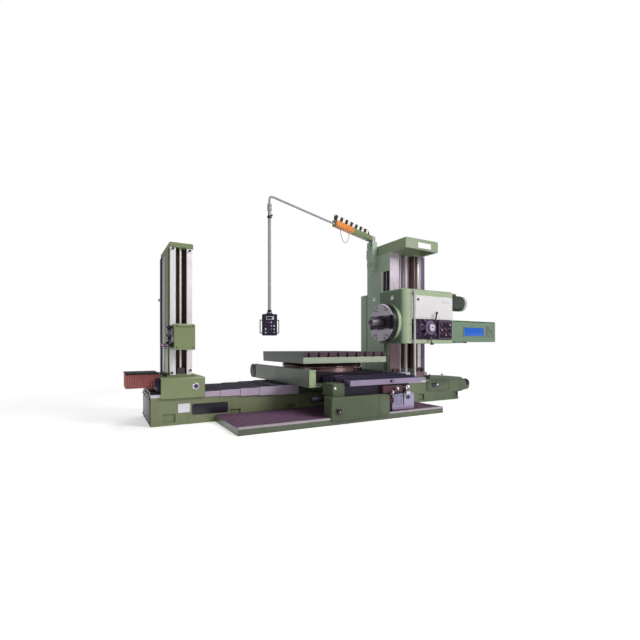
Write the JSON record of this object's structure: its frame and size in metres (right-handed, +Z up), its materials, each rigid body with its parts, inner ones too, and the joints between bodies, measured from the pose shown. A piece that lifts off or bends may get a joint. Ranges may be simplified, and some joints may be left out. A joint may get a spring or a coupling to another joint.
{
  "type": "horizontal boring mill",
  "caption": "Table-type horizontal boring mill: bed, cross-travelling rotary table, column with headstock and facing head, back-rest with steady, platform and pendant arm.",
  "frame": {"origin": "centre of the bed's underside, on the floor", "axes": "+X along the bed from the back-rest to the column, +Y away from the operator, +Z up"},
  "size_m": [6.226, 2.7919, 3.125],
  "materials": {
    "casting_paint": "semi-gloss sage green",
    "panel_paint": "satin off-white",
    "way_steel": "ground",
    "dark_paint": "satin dark navy",
    "sheet_cover": "brushed sheet",
    "bellows": "matt folds",
    "tread": "worn chequer plate",
    "wheel_plastic": "polished",
    "cable_rubber": "matt",
    "marker_paint": "striped",
    "tube_paint": "satin grey"
  },
  "bodies": {
    "bed": {"bed_casting": "casting_paint", "bed_ways": "way_steel", "end_housing": "casting_paint", "backrest_carriage": "casting_paint", "backrest_column": "casting_paint", "backrest_ways": "way_steel", "backrest_bellows": "bellows", "bed_cover_1": "sheet_cover", "platform_frame": "casting_paint", "platform_tread": "tread", "column_casting": "casting_paint", "column_ways": "way_steel", "column_screw": "way_steel", "column_cap": "casting_paint"},
    "steady": {"steady_block": "casting_paint", "steady_fittings": "way_steel"},
    "saddle": {"saddle_casting": "casting_paint", "drive_cover": "casting_paint", "saddle_apron": "casting_paint", "saddle_neck": "dark_paint", "control_cabinet": "panel_paint", "hydraulic_unit": "dark_paint", "bed_cover_5": "sheet_cover", "cross_cover_outer": "sheet_cover"},
    "bed_cover_2": {"bed_cover_2": "sheet_cover"},
    "bed_cover_3": {"bed_cover_3": "sheet_cover"},
    "bed_cover_4": {"bed_cover_4": "sheet_cover"},
    "cross_covers": {"cross_cover_middle": "sheet_cover"},
    "cross_slide": {"cross_slide": "casting_paint", "cross_cover_inner": "sheet_cover"},
    "table": {"table_body": "casting_paint", "table_lands": "way_steel"},
    "headstock": {"headstock_casting": "casting_paint", "headstock_panel": "panel_paint", "console": "dark_paint", "tail_housing": "casting_paint", "main_motor": "dark_paint", "guide_rod": "way_steel"},
    "facing_head": {"facing_plate": "way_steel"},
    "facing_slide": {"facing_slide": "way_steel"},
    "spindle": {"spindle": "way_steel"},
    "capstan": {"capstan_wheel": "wheel_plastic"},
    "pendant_arm": {"arm_beam": "tube_paint", "arm_marker": "marker_paint", "arm_cable": "cable_rubber"},
    "pendant": {"pendant_frame": "tube_paint", "pendant_box": "dark_paint"}
  },
  "joints": [
    {"name": "saddle_slide", "type": "slide", "parent": "bed", "child": "saddle", "axis": [1, 0, 0], "range_m": [-0.84, 0.2]},
    {"name": "cross_slide_travel", "type": "slide", "parent": "saddle", "child": "cross_slide", "axis": [0, 1, 0], "range_m": [-0.25, 0.19]},
    {"name": "cross_cover_travel", "type": "slide", "parent": "saddle", "child": "cross_covers", "axis": [0, 1, 0], "range_m": [-0.126, 0.096]},
    {"name": "table_turn", "type": "hinge", "parent": "cross_slide", "child": "table", "pos_m": [-0.0215, 0, 0.757], "axis": [0, 0, 1], "continuous": true},
    {"name": "headstock_slide", "type": "slide", "parent": "bed", "child": "headstock", "axis": [0, 0, 1], "range_m": [-0.38, 0.68]},
    {"name": "facing_head_turn", "type": "hinge", "parent": "headstock", "child": "facing_head", "pos_m": [0.9225, -0.605, 1.4], "axis": [1, 0, 0], "continuous": true},
    {"name": "facing_slide_travel", "type": "slide", "parent": "facing_head", "child": "facing_slide", "axis": [0, 1, 0], "range_m": [-0.04, 0.04]},
    {"name": "spindle_feed", "type": "slide", "parent": "headstock", "child": "spindle", "axis": [1, 0, 0], "range_m": [-0.7, 0]},
    {"name": "capstan_turn", "type": "hinge", "parent": "headstock", "child": "capstan", "pos_m": [1.4675, -0.975, 1.322], "axis": [0, 1, 0], "continuous": true},
    {"name": "pendant_arm_swing", "type": "hinge", "parent": "bed", "child": "pendant_arm", "pos_m": [1.0875, 0.075, 2.9], "axis": [0, 0, 1], "range_deg": [-20, 70]},
    {"name": "pendant_turn", "type": "hinge", "parent": "pendant_arm", "child": "pendant", "pos_m": [-1.3629, -0.98538, 2.83], "axis": [0, 0, 1], "range_deg": [-90, 90]},
    {"name": "steady_slide", "type": "slide", "parent": "bed", "child": "steady", "axis": [0, 0, 1], "range_m": [-0.25, 0.95]},
    {"name": "bed_cover_2_slide", "type": "slide", "parent": "bed", "child": "bed_cover_2", "axis": [1, 0, 0], "range_m": [-0.211, 0.051]},
    {"name": "bed_cover_3_slide", "type": "slide", "parent": "bed", "child": "bed_cover_3", "axis": [1, 0, 0], "range_m": [-0.421, 0.101]},
    {"name": "bed_cover_4_slide", "type": "slide", "parent": "bed", "child": "bed_cover_4", "axis": [1, 0, 0], "range_m": [-0.631, 0.151]}
  ],
  "couplings": [
    {"joint": "bed_cover_2_slide", "follows": "saddle_slide", "ratio": 0.25},
    {"joint": "bed_cover_3_slide", "follows": "saddle_slide", "ratio": 0.5},
    {"joint": "bed_cover_4_slide", "follows": "saddle_slide", "ratio": 0.75},
    {"joint": "cross_cover_travel", "follows": "cross_slide_travel", "ratio": 0.5}
  ]
}
